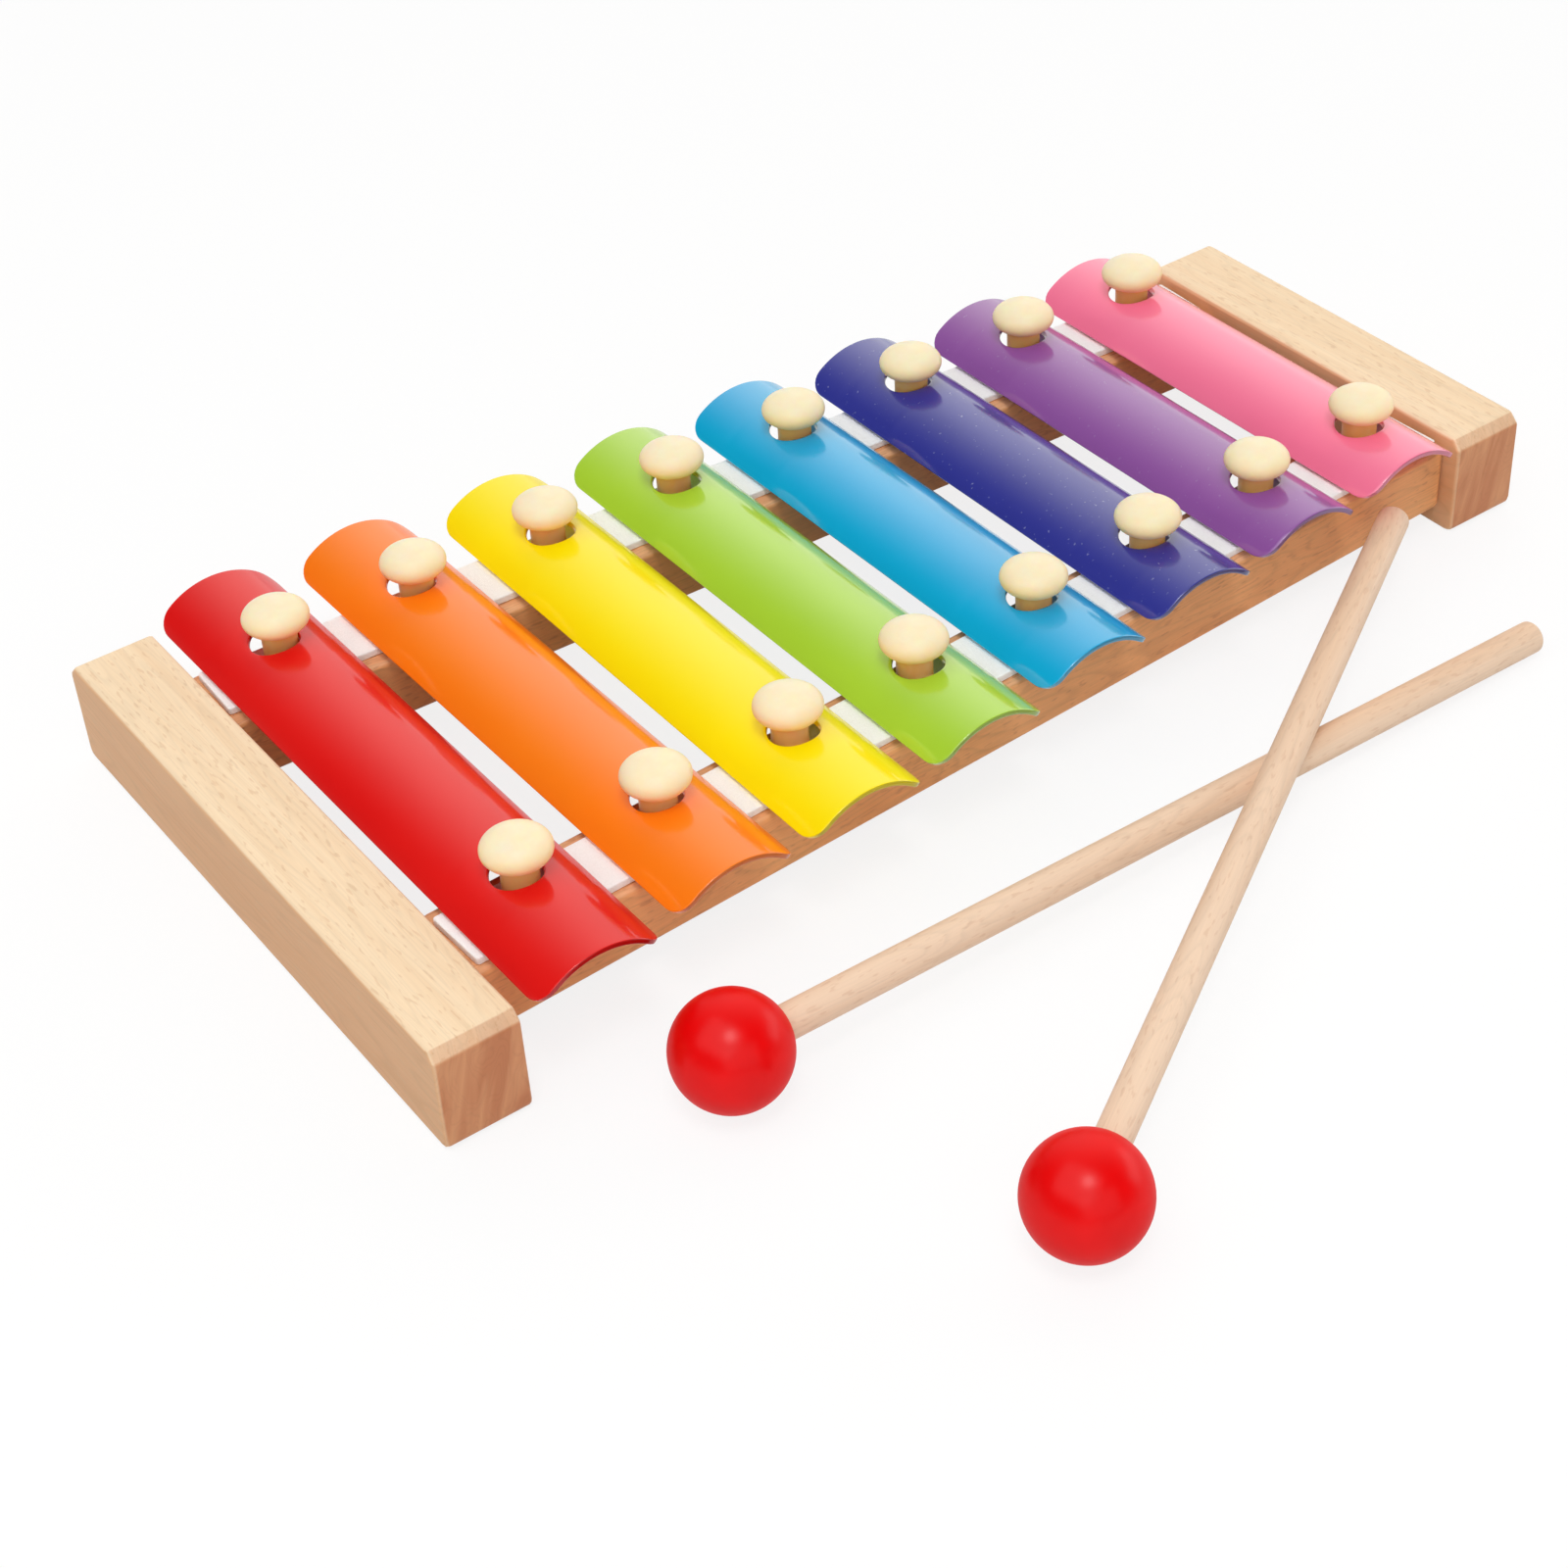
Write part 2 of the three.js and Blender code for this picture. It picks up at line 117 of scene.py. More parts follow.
# How the sheets are laid out: the stretch on each side of a hole, the rows from a straight row
# to a rounded end, the steps of an eased edge, and how fast the rings round a hole close in
BAR_CELL = 8.5 * MM
STRIP_CELL = 6.0 * MM
BAR_END_SHARES = (0, 0.2, 0.4, 0.6, 0.8, 0.93, 1)
STRIP_END_SHARES = (0, 0.25, 0.5, 0.75, 0.9, 1)
EASE_STEPS = 3
RING_POWER = 0.7
# Rounds in which a bar's arch is worked out
ARCH_ROUNDS = 40

# Shading of the wood that the CAD made, and of the new pieces
WELD_DISTANCE = 0.002 * MM
SOFT_EDGE_ANGLE = math.radians(50)
EVEN_SHADING_WEIGHT = 80

# Screen colours of the woods: pale and deep wood, the flecks, the painted shade tint of the
# sides, which darkens and warms them as if less lit, and pale and deep end grain
BEECH_TONES = (
    (252, 226, 190),
    (246, 215, 176),
    (222, 182, 140),
    (236, 208, 187),
    (217, 155, 110),
    (197, 128, 86),
)
RAIL_TONES = (
    (249, 190, 140),
    (235, 167, 117),
    (186, 120, 78),
    (255, 243, 220),
    (222, 150, 104),
    (196, 124, 80),
)
STICK_TONES = (
    (243, 213, 185),
    (236, 200, 168),
    (208, 160, 124),
    (255, 255, 255),
    (224, 176, 134),
    (206, 150, 108),
)

# Cells per millimetre of each pattern in the wood: along the grain, across and along the growth
GROWTH_BANDS = (0.012, 0.42, 0.05)
GROWTH_LINES = (0.016, 0.24, 0.1)
WOOD_FIBRES = (0.1, 3.4, 3.4)
WOOD_DASHES = (0.38, 1.7, 1.7)
WOOD_CLOUDS = (0.02, 0.05, 0.05)
END_STREAKS = (0.1, 0.32, 0.05)
# Where the growth lines lie in their noise, and how far each one fades in and out
GROWTH_LINE_PLACES = (0.36, 0.43, 0.49, 0.55, 0.62)
GROWTH_LINE_RISE = 0.022
GROWTH_LINE_FALL = 0.008
# The slant of the growth rings across the blocks' ends, in radians
RING_SLANT = 0.24

# Cells per millimetre of the enamel's drift of colour and of its orange peel
ENAMEL_DRIFT = (0.06, 0.02, 0.06)
ENAMEL_PEEL = (0.55, 0.4, 0.55)
SPECK_COLOUR = (205, 210, 235)

# Screen colour, deeper screen colour, gloss and strength of the specks of each bar's enamel
ENAMELS = {
    "red": ((228, 24, 20), (222, 14, 14), 0.5, 0),
    "orange": ((255, 130, 18), (255, 122, 10), 0.6, 0),
    "yellow": ((255, 235, 0), (255, 230, 0), 0.5, 0),
    "green": ((172, 215, 56), (167, 211, 50), 1.0, 0),
    "blue": ((0, 174, 226), (0, 168, 222), 1.0, 0),
    "navy": ((52, 56, 151), (48, 52, 145), 1.0, 0.35),
    "purple": ((149, 89, 165), (145, 83, 161), 1.0, 0.12),
    "pink": ((255, 125, 160), (253, 119, 155), 1.0, 0),
}

# The view: place, turn from the back towards +X, tilt down, roll, focal length and sensor width
# in millimetres, and the nearest and farthest distance that it shows
CAMERA_PLACE = (-0.13485, -0.35686, 0.32617)
CAMERA_AZIMUTH = 33.3
CAMERA_ELEVATION = 39.29
CAMERA_ROLL = -3.94
CAMERA_LENS = 67.65
CAMERA_SENSOR = 36.0
CAMERA_CLIP = (0.01, 50.0)

# The large soft light of the world: azimuth and elevation, reach in radians, radiance, colour
SOFT_LIGHT_PLACE = (41, 28)
SOFT_LIGHT_RADIUS = 1.22
SOFT_LIGHT = 1.42
SOFT_LIGHT_COLOUR = (1.0, 0.97, 0.92, 1.0)
# The grey of the room at some heights, from the horizon up
ROOM_GREYS = ((0.0, 0.6), (0.12, 0.25), (0.3, 0.04))

# Azimuth, elevation, size and watts of each soft box
LAMPS = {
    "left_fill": (-105, 60, (2.8, 2.2), 27.0),
    "front_fill": (195, 28, (2.4, 1.4), 9.5),
    "right_fill": (100, 14, (1.6, 0.8), 9.0),
    "overhead": (213, 67, (0.54, 0.54), 9.0),
}
LAMP_DISTANCE = 2.0
LAMP_TARGET = (0.12, 0, 0.02)

# The floor lies a little under the blocks. Its greys: what lights the object, what the eye sees
# shaded, and the glow that is added to that
FLOOR_HALF = 4.0
FLOOR_PLACE = (0.1, 0, -0.2 * MM)
FLOOR_GREY = 0.8
FLOOR_SHADED_GREY = 0.16
FLOOR_GLOW = 0.835

# Sockets of a Mix node that is set to colours
MIX_FACTOR = 0
MIX_FIRST = 6
MIX_SECOND = 7
MIX_RESULT = 2


# Shader nodes

def new_material(name):
    """A material, its node tree and the shader in it."""
    material = bpy.data.materials.new(name)
    material.use_nodes = True
    tree = material.node_tree
    return material, tree, tree.nodes["Principled BSDF"]


def feed(tree, node, key, value):
    """Sets a node's input to a value, or links a socket to it."""
    if isinstance(value, bpy.types.NodeSocket):
        tree.links.new(value, node.inputs[key])
    else:
        node.inputs[key].default_value = value


def linear(red, green, blue):
    """A screen colour from 0 to 255 as the linear values that a shader takes."""
    def one(value):
        share = value / 255
        return share / 12.92 if share <= 0.04045 else ((share + 0.055) / 1.055) ** 2.4
    return (one(red), one(green), one(blue), 1.0)


def grey(value):
    """A linear grey."""
    return (value, value, value, 1.0)


def grain_place(tree, per_mm, turn=NOWHERE, shift=NOWHERE):
    """The object's own coordinates, turned so that the grain runs along X, times per_mm for
    each axis, and then shifted."""
    place = tree.nodes.new("ShaderNodeTexCoord")
    rotate = tree.nodes.new("ShaderNodeMapping")
    rotate.vector_type = "TEXTURE"
    feed(tree, rotate, "Rotation", turn)
    feed(tree, rotate, "Vector", place.outputs["Object"])
    size = tree.nodes.new("ShaderNodeMapping")
    feed(tree, size, "Scale", [value / MM for value in per_mm])
    feed(tree, size, "Location", shift)
    feed(tree, size, "Vector", rotate.outputs["Vector"])
    return size.outputs["Vector"]


def noise_of(tree, vector, detail, roughness=0.5, distortion=0.0):
    """Noise whose cells are one long in the vector's own measure."""
    node = tree.nodes.new("ShaderNodeTexNoise")
    feed(tree, node, "Scale", 1.0)
    feed(tree, node, "Detail", detail)
    feed(tree, node, "Roughness", roughness)
    feed(tree, node, "Distortion", distortion)
    feed(tree, node, "Vector", vector)
    return node.outputs["Fac"]


def even_noise(tree, per_mm, detail, roughness=0.5, distortion=0.0):
    """Noise with equal cells along all three axes of the object."""
    return noise_of(tree, grain_place(tree, (per_mm, per_mm, per_mm)), detail, roughness, distortion)


def ramp(tree, factor, stops):
    """A colour ramp through (place, colour) stops. New elements start halfway and then move."""
    node = tree.nodes.new("ShaderNodeValToRGB")
    elements = node.color_ramp.elements
    while len(elements) < len(stops):
        elements.new(0.5)
    for element, (place, colour) in zip(elements, stops):
        element.position = place
        element.color = colour
    feed(tree, node, "Fac", factor)
    return node.outputs["Color"]


def mask(tree, factor, low, high):
    """Black where the factor is under low, white where it is over high."""
    return ramp(tree, factor, [(low, grey(0.0)), (high, grey(1.0))])


def mixed(tree, factor, first, second, blend="MIX"):
    """The first colour, blended with the second by the factor."""
    node = tree.nodes.new("ShaderNodeMix")
    node.data_type = "RGBA"
    node.blend_type = blend
    feed(tree, node, MIX_FACTOR, factor)
    feed(tree, node, MIX_FIRST, first)
    feed(tree, node, MIX_SECOND, second)
    return node.outputs[MIX_RESULT]


def calculated(tree, operation, first, second=0.0):
    """The result of a calculation. The second value counts only where the operation needs two."""
    node = tree.nodes.new("ShaderNodeMath")
    node.operation = operation
    feed(tree, node, 0, first)
    feed(tree, node, 1, second)
    return node.outputs[0]


def along_axis(tree, vector, axis):
    """How long a vector is along an axis."""
    node = tree.nodes.new("ShaderNodeVectorMath")
    node.operation = "DOT_PRODUCT"
    feed(tree, node, 0, vector)
    feed(tree, node, 1, axis)
    return node.outputs["Value"]


def facing(tree, axis, low, high):
    """How far a surface faces along an axis of the object, as a mask from 0 to 1."""
    normal = tree.nodes.new("ShaderNodeTexCoord").outputs["Normal"]
    return mask(tree, calculated(tree, "ABSOLUTE", along_axis(tree, normal, axis)), low, high)


def bumped(tree, shader, height, distance, strength):
    """Roughens a shader's surface by a height from 0 to 1, times the distance."""
    node = tree.nodes.new("ShaderNodeBump")
    feed(tree, node, "Strength", strength)
    feed(tree, node, "Distance", distance)
    feed(tree, node, "Height", height)
    feed(tree, shader, "Normal", node.outputs["Normal"])


# Materials

def growth_stops(dark):
    """Stops that turn a smooth noise into thin lines, which follow its contours."""
    stops = [(0.0, grey(1.0))]
    for place in GROWTH_LINE_PLACES:
        stops += [
            (place - GROWTH_LINE_RISE, grey(1.0)),
            (place, grey(dark)),
            (place + GROWTH_LINE_FALL, grey(1.0)),
        ]
    return stops


def beech(name, tones, turn, grain_axis, shaded_side_axis, shift, fibre=0.94, flecked=0.43):
    """Beech whose growth bands are stacked across Y once its grain is turned to run along X.
    It has thin darker growth lines, fine fibres, short dark ray flecks along the grain, painted
    shade on the faces along shaded_side_axis (a darker, warmer tint as if less lit), and darker,
    softly streaked end grain. The fibres and the growth lines darken the wood to the share
    fibre; the flecks show by the share flecked."""
    pale, deep, fleck, side, end_pale, end_deep = [linear(*tone) for tone in tones]
    material, tree, shader = new_material(name)

    def pattern(per_mm, detail, roughness=0.5, distortion=0.0):
        return noise_of(tree, grain_place(tree, per_mm, turn, shift), detail, roughness, distortion)

    bands = pattern(GROWTH_BANDS, detail=3, distortion=0.5)
    fibres = pattern(WOOD_FIBRES, detail=3, roughness=0.6)
    dashes = pattern(WOOD_DASHES, detail=1, roughness=0.4)
    clouds = pattern(WOOD_CLOUDS, detail=2)
    colour = ramp(tree, bands, [(0.3, deep), (0.6, pale)])
    colour = mixed(tree, calculated(tree, "MULTIPLY", clouds, 0.25), colour, deep)
    # Painted shade: faces along shaded_side_axis are multiplied by the side tone, darker and warmer
    # as if less lit
    colour = mixed(tree, facing(tree, shaded_side_axis, 0.6, 0.9), colour, side, "MULTIPLY")
    shade = ramp(tree, fibres, [(0.3, grey(fibre)), (0.7, grey(1.0))])
    colour = mixed(tree, 1.0, colour, shade, "MULTIPLY")
    flecks = calculated(tree, "MULTIPLY", mask(tree, dashes, 0.61, 0.69), flecked)
    colour = mixed(tree, flecks, colour, fleck)
    streaks = pattern(END_STREAKS, detail=3, roughness=0.45, distortion=0.5)
    end_colour = ramp(tree, streaks, [(0.36, end_deep), (0.64, end_pale)])
    colour = mixed(tree, facing(tree, grain_axis, 0.5, 0.95), colour, end_colour)
    growth = pattern(GROWTH_LINES, detail=1, roughness=0.4, distortion=0.3)
    lines = ramp(tree, growth, growth_stops(fibre))
    colour = mixed(tree, 1.0, colour, lines, "MULTIPLY")
    feed(tree, shader, "Base Color", colour)
    feed(tree, shader, "Roughness", 0.55)
    feed(tree, shader, "Specular IOR Level", 0.35)
    bumped(tree, shader, fibres, distance=0.05 * MM, strength=0.5)
    return material


def enamel(name, colour, deep, gloss, specks):
    """Glossy enamel on sheet metal, with a faint drift of colour, the slightest orange peel and,
    on some bars, pale specks. The faces cut across the bar get painted shade: they are darkened."""
    material, tree, shader = new_material(name)
    drift = noise_of(tree, grain_place(tree, ENAMEL_DRIFT), detail=2)
    base = mixed(tree, mask(tree, drift, 0.3, 0.75), linear(*colour), linear(*deep))
    if specks:
        dust = even_noise(tree, per_mm=1.1, detail=2)
        marks = calculated(tree, "MULTIPLY", mask(tree, dust, 0.68, 0.77), specks)
        base = mixed(tree, marks, base, linear(*SPECK_COLOUR))
    # Painted shade: the cut faces at the bar's ends are darkened to 0.55 of their colour
    base = mixed(tree, facing(tree, ALONG_Y, 0.5, 0.9), base, grey(0.55), "MULTIPLY")
    feed(tree, shader, "Base Color", base)
    feed(tree, shader, "Roughness", 0.45)
    feed(tree, shader, "Specular IOR Level", 0.04)
    feed(tree, shader, "Coat Weight", gloss)
    feed(tree, shader, "Coat Roughness", 0.12)
    feed(tree, shader, "Coat IOR", 1.8)
    peel = noise_of(tree, grain_place(tree, ENAMEL_PEEL), detail=1)
    bumped(tree, shader, peel, distance=0.02 * MM, strength=0.35)
    return material


def ivory(shaded_height, plain_height):
    """Moulded ivory plastic, faintly cloudy and softly lit through. Painted shade: it is painted
    warm amber up to one height, on the shank under the head where shade falls, and fades to its
    plain tone at the other, in the head."""
    material, tree, shader = new_material("ivory_plastic_look")
    clouds = even_noise(tree, per_mm=0.3, detail=3)
    colour = ramp(tree, clouds, [(0.3, linear(254, 231, 194)), (0.7, linear(255, 237, 206))])
    height = tree.nodes.new("ShaderNodeSeparateXYZ")
    feed(tree, height, 0, grain_place(tree, (1.0, 1.0, 1.0)))
    share = calculated(tree, "SUBTRACT", height.outputs["Z"], shaded_height / MM)
    share = calculated(tree, "DIVIDE", share, (plain_height - shaded_height) / MM)
    # Painted shade: warm amber on the shank and the head's underside, where shade falls under the
    # head
    shank_shade = ramp(tree, share, [
        (0.0, linear(246, 206, 150)),
        (0.5, linear(252, 234, 212)),
        (1.0, grey(1.0)),
    ])
    colour = mixed(tree, 1.0, colour, shank_shade, "MULTIPLY")
    feed(tree, shader, "Base Color", colour)
    feed(tree, shader, "Roughness", 0.45)
    feed(tree, shader, "Specular IOR Level", 0.3)
    feed(tree, shader, "Subsurface Weight", 0.8)
    feed(tree, shader, "Subsurface Radius", (1.0, 0.55, 0.25))
    feed(tree, shader, "Subsurface Scale", 3.0 * MM)
    grain = even_noise(tree, per_mm=4.0, detail=2)
    bumped(tree, shader, grain, distance=0.01 * MM, strength=0.4)
    return material


def lacquer():
    """Red lacquer over a turned wooden ball, a little uneven."""
    material, tree, shader = new_material("red_lacquer_look")
    drift = even_noise(tree, per_mm=0.12, detail=2)
    colour = ramp(tree, drift, [(0.3, linear(228, 0, 2)), (0.7, linear(238, 2, 4))])
    feed(tree, shader, "Base Color", colour)
    feed(tree, shader, "Roughness", 0.5)
    feed(tree, shader, "Specular IOR Level", 0.03)
    feed(tree, shader, "Coat Weight", 0.12)
    feed(tree, shader, "Coat IOR", 2.2)
    feed(tree, shader, "Coat Roughness", 0.28)
    ripple = even_noise(tree, per_mm=0.5, detail=2)
    bumped(tree, shader, ripple, distance=0.03 * MM, strength=0.3)
    return material


def felt():
    """Dense white felt: matted fibres with a soft sheen."""
    material, tree, shader = new_material("felt_look")
    fibres = even_noise(tree, per_mm=2.2, detail=5, roughness=0.7, distortion=1.5)
    colour = ramp(tree, fibres, [(0.3, linear(245, 244, 242)), (0.6, linear(254, 254, 252))])
    feed(tree, shader, "Base Color", colour)
    feed(tree, shader, "Roughness", 0.95)
    feed(tree, shader, "Sheen Weight", 0.2)
    bumped(tree, shader, fibres, distance=0.12 * MM, strength=0.6)
    return material


# Meshes

def piece(name, vertices, faces):
    """A new smooth-shaded object."""
    mesh = bpy.data.meshes.new(name)
    mesh.from_pydata(vertices, [], faces)
    mesh.update()
    for polygon in mesh.polygons:
        polygon.use_smooth = True
    thing = bpy.data.objects.new(name, mesh)
    scene.collection.objects.link(thing)
    weighted = thing.modifiers.new("Even shading", "WEIGHTED_NORMAL")
    weighted.weight = EVEN_SHADING_WEIGHT
    return thing


def dress(thing, material, slot, body, *nodes):
    """Gives a new piece its material and its body, and hides the nodes it stands for. The slot is not
    used.
    """
    thing.data.materials.append(material)
    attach(thing, body)
    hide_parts(*nodes)


def centre_of(node):
    """The middle of a CAD node's box."""
    low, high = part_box(node)
    return (low + high) / 2


def spread(start, end, steps):
    """Even places after start, up to and with end."""
    return [start + (end - start) * (i + 1) / steps for i in range(steps)]


def arc(centre, radii, start, end, steps):
    """Points of an ellipse's arc after the start angle, up to and with the end, in degrees."""
    points = []
    for degrees in spread(start, end, steps):
        angle = math.radians(degrees)
        points.append((
            centre[0] + radii[0] * math.cos(angle),
            centre[1] + radii[1] * math.sin(angle),
        ))
    return points


def turned(name, profile, segments):
    """A profile of (radius, height) turned about Z. Both of its ends lie on the axis."""
    rings = profile[1:-1]
    vertices = [(0, 0, profile[0][1])]
    for radius, height in rings:
        for step in range(segments):
            angle = 2 * math.pi * step / segments
            vertices.append((radius * math.cos(angle), radius * math.sin(angle), height))
    vertices.append((0, 0, profile[-1][1]))
    last = len(vertices) - 1
    top = 1 + (len(rings) - 1) * segments
    faces = []
    for step in range(segments):
        after = (step + 1) % segments
        faces.append((0, 1 + after, 1 + step))
        faces.append((top + step, top + after, last))
        for low in range(1, top, segments):
            high = low + segments
            faces.append((low + step, low + after, high + after, high + step))
    return piece(name, vertices, faces)


def band(upper, lower):
    """The faces between two closed loops of as many points."""
    faces = []
    for i in range(len(upper)):
        after = (i + 1) % len(upper)
        faces.append((lower[i], lower[after], upper[after], upper[i]))
    return faces


class PiercedSheet:
    """A flat sheet with rounded corners and round holes along its middle, that is then bent.
    Its points are (across, along). The edges are eased all round when it gets its thickness.
    It grows from its low end to its high end: begin, holes and plain stretches, then finish."""

    def __init__(self, half_width, low_end, high_end, corner, ease, corner_steps, middle_steps):
        self.half_width = half_width
        self.ends = (low_end, high_end)
        self.corner = corner
        self.ease = ease
        self.columns = self.column_places(corner_steps, middle_steps)
        self.points = []
        self.faces = []
        # Every closed edge, with the way out of the sheet at each of its points
        self.edges = []
        # The last row so far, the first one, and the points up both sides
        self.row = []
        self.first = []
        self.left = []
        self.right = []

    def column_places(self, corner_steps, middle_steps):
        """Places across the sheet, closer together over its rounded corners."""
        turn = self.half_width - self.corner
        radius = self.corner - self.ease
        angles = [QUARTER * i / corner_steps for i in range(corner_steps + 1)]
        at_corner = [turn + radius * math.sin(angle) for angle in angles]
        middle = spread(-turn, turn, middle_steps)[:-1]
        return [-x for x in reversed(at_corner)] + middle + at_corner

    def end_row(self, side, inner, share):
        """A row between the straight row at inner (share 0) and a rounded end (share 1), which
        is the low end for side 0 and the high end for side 1."""
        radius = self.corner - self.ease
        row = []
        for x in self.columns:
            past = max(0.0, abs(x) - (self.half_width - self.corner))
            inset = self.corner - math.sqrt(max(0.0, radius ** 2 - past ** 2))
            end = self.ends[side] + (1 - 2 * side) * inset
            row.append((x, inner + (end - inner) * share))
        return row

    def add(self, point):
        """Keeps a point and gives its number."""
        self.points.append(point)
        return len(self.points) - 1

    def grow(self, rows):
        """Faces from the last row to each of these rows in turn."""
        for row in rows:
            new = [self.add(point) for point in row]
            for i in range(len(new) - 1):
                self.faces.append((self.row[i], self.row[i + 1], new[i + 1], new[i]))
            self.row = new
            self.left.append(new[0])
            self.right.append(new[-1])

    def begin(self, inner, shares):
        """The low rounded end, up to the straight row at inner."""
        rows = [self.end_row(0, inner, share) for share in reversed(shares)]
        self.row = [self.add(point) for point in rows[0]]
        self.first = self.row
        self.grow(rows[1:])

    def stretch(self, start, end, steps):
        """A plain stretch of sheet."""
        self.grow([[(x, y) for x in self.columns] for y in spread(start, end, steps)])

    def hole(self, start, end, radius, steps, rings, middle_x=0.0):
        """A stretch of sheet round one hole, which is as far from its start as from its end."""
        middle_y = (start + end) / 2
        sides = spread(start, end, steps)[:-1]
        right = [self.add((self.columns[-1], y)) for y in sides]
        last = [self.add((x, end)) for x in self.columns]
        left = [self.add((self.columns[0], y)) for y in sides]
        loop = self.row + right + last[::-1] + left[::-1]
        outer = loop
        rim = radius + self.ease
        for ring in range(1, rings + 1):
            share = (ring / rings) ** RING_POWER
            inner = []
            for number in loop:
                x, y = self.points[number]
                reach = math.hypot(x - middle_x, y - middle_y)
                scale = 1 + (rim / reach - 1) * share
                inner.append(self.add((
                    middle_x + (x - middle_x) * scale,
                    middle_y + (y - middle_y) * scale,
                )))
            self.faces += band(inner, outer)
            outer = inner
        ways = []
        for number in inner:
            x, y = self.points[number]
            ways.append(((middle_x - x) / rim, (middle_y - y) / rim))
        self.edges.append((inner[::-1], ways[::-1]))
        self.row = last
        self.left += left + [last[0]]
        self.right += right + [last[-1]]

    def finish(self, inner, shares):
        """The high rounded end, from the straight row at inner, and the edge all round."""
        self.grow([self.end_row(1, inner, share) for share in shares[1:]])
        loop = self.first + self.right[:-1] + self.row[::-1] + self.left[:-1][::-1]
        inner_x = self.half_width - self.corner
        low = self.ends[0] + self.corner
        high = self.ends[1] - self.corner
        ways = []
        for number in loop:
            x, y = self.points[number]
            out = Vector((x - max(-inner_x, min(inner_x, x)), y - max(low, min(high, y))))
            ways.append(tuple(out.normalized()))
        self.edges.append((loop, ways))

    def thick(self, name, thickness, place):
        """The solid sheet. place(across, along, depth) puts each point in space."""
        count = len(self.points)
        vertices = [place(x, y, 0) for x, y in self.points]
        vertices += [place(x, y, thickness) for x, y in self.points]
        faces = list(self.faces)
        faces += [tuple(count + number for number in face[::-1]) for face in self.faces]
        angles = spread(0, QUARTER, EASE_STEPS)
        rim = [(self.ease * math.sin(angle), self.ease * (1 - math.cos(angle))) for angle in angles]
        rim += [(out, thickness - down) for out, down in reversed(rim)]
        for loop, ways in self.edges:
            upper = loop
            for out, down in rim:
                lower = []
                for number, way in zip(loop, ways):
                    x, y = self.points[number]
                    lower.append(len(vertices))
                    vertices.append(place(x + way[0] * out, y + way[1] * out, down))
                faces += band(upper, lower)
                upper = lower
            faces += band(upper, [count + number for number in loop])
        return piece(name, vertices, faces)


# Bars

def arch_of(half_width, rise):
    """Outer radius and half angle of a sheet bent to that width and rise, with square ends."""
    half_angle = math.pi / 4
    for _ in range(ARCH_ROUNDS):
        outer = half_width / math.sin(half_angle)
        half_angle = math.acos(1 - (rise - SHEET) / (outer - SHEET))
    return half_width / math.sin(half_angle), half_angle


def sound_bar(name, material, seed):
    """A pierced and bent bar, centred and turned as its CAD bar is."""
    node = f"bar_{name}"
    pin_y = centre_of(f"rear_pin_{name[0]}").y
    front, rear = SWAYS.get(name, (0.0, 0.0))
    turn = Matrix.Rotation(math.asin((front - rear) / (2 * pin_y)), 3, "Z")
    # The box of the CAD bar once it is turned back straight
    straight = [turn.transposed() @ vertex.co for vertex in frame["nodes"][node].data.vertices]
    low = Vector([min(point[i] for point in straight) for i in range(3)])
    high = Vector([max(point[i] for point in straight) for i in range(3)])
    middle = (low + high) / 2
    half_length = (high.y - low.y) / 2
    radius, half_angle = arch_of((high.x - low.x) / 2, high.z - low.z)
    half_flat = radius * half_angle

    sheet = PiercedSheet(
        half_flat, -half_length, half_length, BAR_CORNER, SHEET_EASE,
        corner_steps=7, middle_steps=26,
    )
    sheet.begin(-pin_y - BAR_CELL, BAR_END_SHARES)
    sheet.hole(-pin_y - BAR_CELL, -pin_y + BAR_CELL, BAR_HOLE, steps=26, rings=7)
    sheet.stretch(-pin_y + BAR_CELL, pin_y - BAR_CELL, steps=30)
    sheet.hole(pin_y - BAR_CELL, pin_y + BAR_CELL, BAR_HOLE, steps=26, rings=7)
    sheet.finish(pin_y + BAR_CELL, BAR_END_SHARES)

    def bent(across, along, depth):
        waves = (across * UNEVEN_WAVES[0], along * UNEVEN_WAVES[1], seed * UNEVEN_STEP)
        wave = noise.noise(Vector(waves)) - UNEVEN_SINK
        fade = 1 - (across / half_flat) ** 2
        reach = radius - depth + UNEVENNESS * wave * fade
        angle = across / radius
        return turn @ Vector((
            middle.x + reach * math.sin(angle),
            middle.y + along,
            high.z - radius + reach * math.cos(angle),
        ))

    thing = sheet.thick(f"enamelled_bar_{name}", SHEET, bent)
    colour = name[2:]
    dress(thing, material, f"enamel_{colour}", f"{colour}_bar", node)


# Pins

def mushroom_pin(node, material):
    """A pin with a spigot in the rail, a shank through the bar's hole and a rounded head."""
    low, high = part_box(node)
    head = (high.x - low.x) / 2
    foot = high.z - PIN_HEAD_HEIGHT
    rim = high.z - PIN_HEAD_HEIGHT * HEAD_CROWN_SHARE
    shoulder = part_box("front_rail")[1].z + PIN_SHOULDER_ABOVE_RAIL
    flat = head * HEAD_FOOT_SHARE
    fillet = PIN_FILLET
    profile = [
        (0, low.z),
        (PIN_SPIGOT - PIN_TIP_EASE, low.z),
        (PIN_SPIGOT, low.z + PIN_TIP_EASE),
        (PIN_SPIGOT, shoulder - fillet / 2),
        (PIN_SPIGOT, shoulder),
        (PIN_SHANK - fillet / 2, shoulder),
        (PIN_SHANK, shoulder + fillet / 2),
        (PIN_SHANK, foot - fillet),
    ]
    profile += arc((PIN_SHANK + fillet, foot - fillet), (fillet, fillet), 180, 90, steps=6)
    profile += arc((flat, rim), (head - flat, rim - foot), -90, 0, steps=10)
    profile += arc((0, rim), (head, high.z - rim), 0, 90, steps=22)
    thing = turned(f"mushroom_{node}", profile, segments=64)
    middle = (low + high) / 2
    thing.matrix_world = Matrix.Translation((middle.x, middle.y, 0))
    dress(thing, material, "ivory_plastic", "frame", node)


# Felt strips

